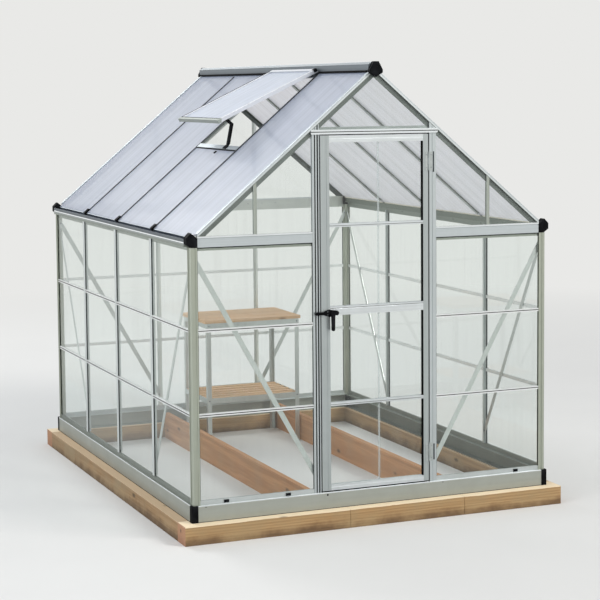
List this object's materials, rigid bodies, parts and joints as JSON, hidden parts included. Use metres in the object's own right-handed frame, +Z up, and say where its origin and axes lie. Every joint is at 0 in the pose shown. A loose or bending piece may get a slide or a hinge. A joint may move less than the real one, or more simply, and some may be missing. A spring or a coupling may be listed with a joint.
{
  "type": "hobby greenhouse",
  "caption": "Gabled aluminium greenhouse with clear walls, twin-wall roof, open roof vent, hinged door with lever latch, inner bench and a timber plinth.",
  "frame": {"origin": "centre of the plan at ground level", "axes": "+Z up, +Y from the door gable to the back gable, +X to the right seen from the door"},
  "size_m": [1.97, 2.55, 2.2],
  "materials": {
    "aluminium": "mill finish, satin",
    "skirt_aluminium": "mill finish, matt",
    "capped_bar": "satin, dark capping strip",
    "clear_glass": "clear",
    "twin_wall_sheet": "translucent twin wall",
    "black_plastic": "moulded, fine grain",
    "hinge_steel": "grey coated",
    "plinth_timber": "sawn softwood",
    "boards": "planed softwood"
  },
  "bodies": {
    "house": {"back_eave_beam": "aluminium", "back_rafters": "aluminium", "back_wall_bars": "aluminium", "back_wall_glass": "clear_glass", "base_back": "skirt_aluminium", "base_corner_caps": "black_plastic", "base_front": "skirt_aluminium", "base_sides": "skirt_aluminium", "bed_boards": "boards", "bench_frame": "aluminium", "bench_shelf": "boards", "bench_top": "boards", "corner_posts": "aluminium", "door_head": "aluminium", "door_jambs": "aluminium", "eave_corner_caps": "black_plastic", "front_eave_beams": "aluminium", "front_gable_bars": "aluminium", "front_rafters": "aluminium", "front_wall_glass": "clear_glass", "gutters": "aluminium", "jamb_hinges": "hinge_steel", "left_roof_bars": "capped_bar", "left_roof_panels": "twin_wall_sheet", "left_wall_glass": "clear_glass", "pane_rails": "aluminium", "plinth_back": "plinth_timber", "plinth_front": "plinth_timber", "plinth_sides": "plinth_timber", "ridge_beam": "aluminium", "ridge_end_caps": "black_plastic", "right_roof_bars": "capped_bar", "right_roof_panels": "twin_wall_sheet", "right_wall_glass": "clear_glass", "roof_bar_clips": "black_plastic", "side_wall_bars": "aluminium", "vent_frame": "aluminium", "vent_panel": "twin_wall_sheet", "vent_sill": "aluminium", "vent_stay": "black_plastic", "wall_braces": "aluminium"},
    "door": {"door_frame": "aluminium", "door_glass": "clear_glass", "door_hinges": "hinge_steel", "door_latch": "black_plastic"},
    "lever": {"door_lever": "black_plastic"}
  },
  "joints": [
    {"name": "door_swing", "type": "hinge", "parent": "house", "child": "door", "pos_m": [0.283, -1.22, 1], "axis": [0, 0, 1], "range_deg": [0, 105]},
    {"name": "lever_turn", "type": "hinge", "parent": "door", "child": "lever", "pos_m": [-0.229, -1.235, 1.022], "axis": [0, -1, 0], "range_deg": [0, 90]}
  ]
}
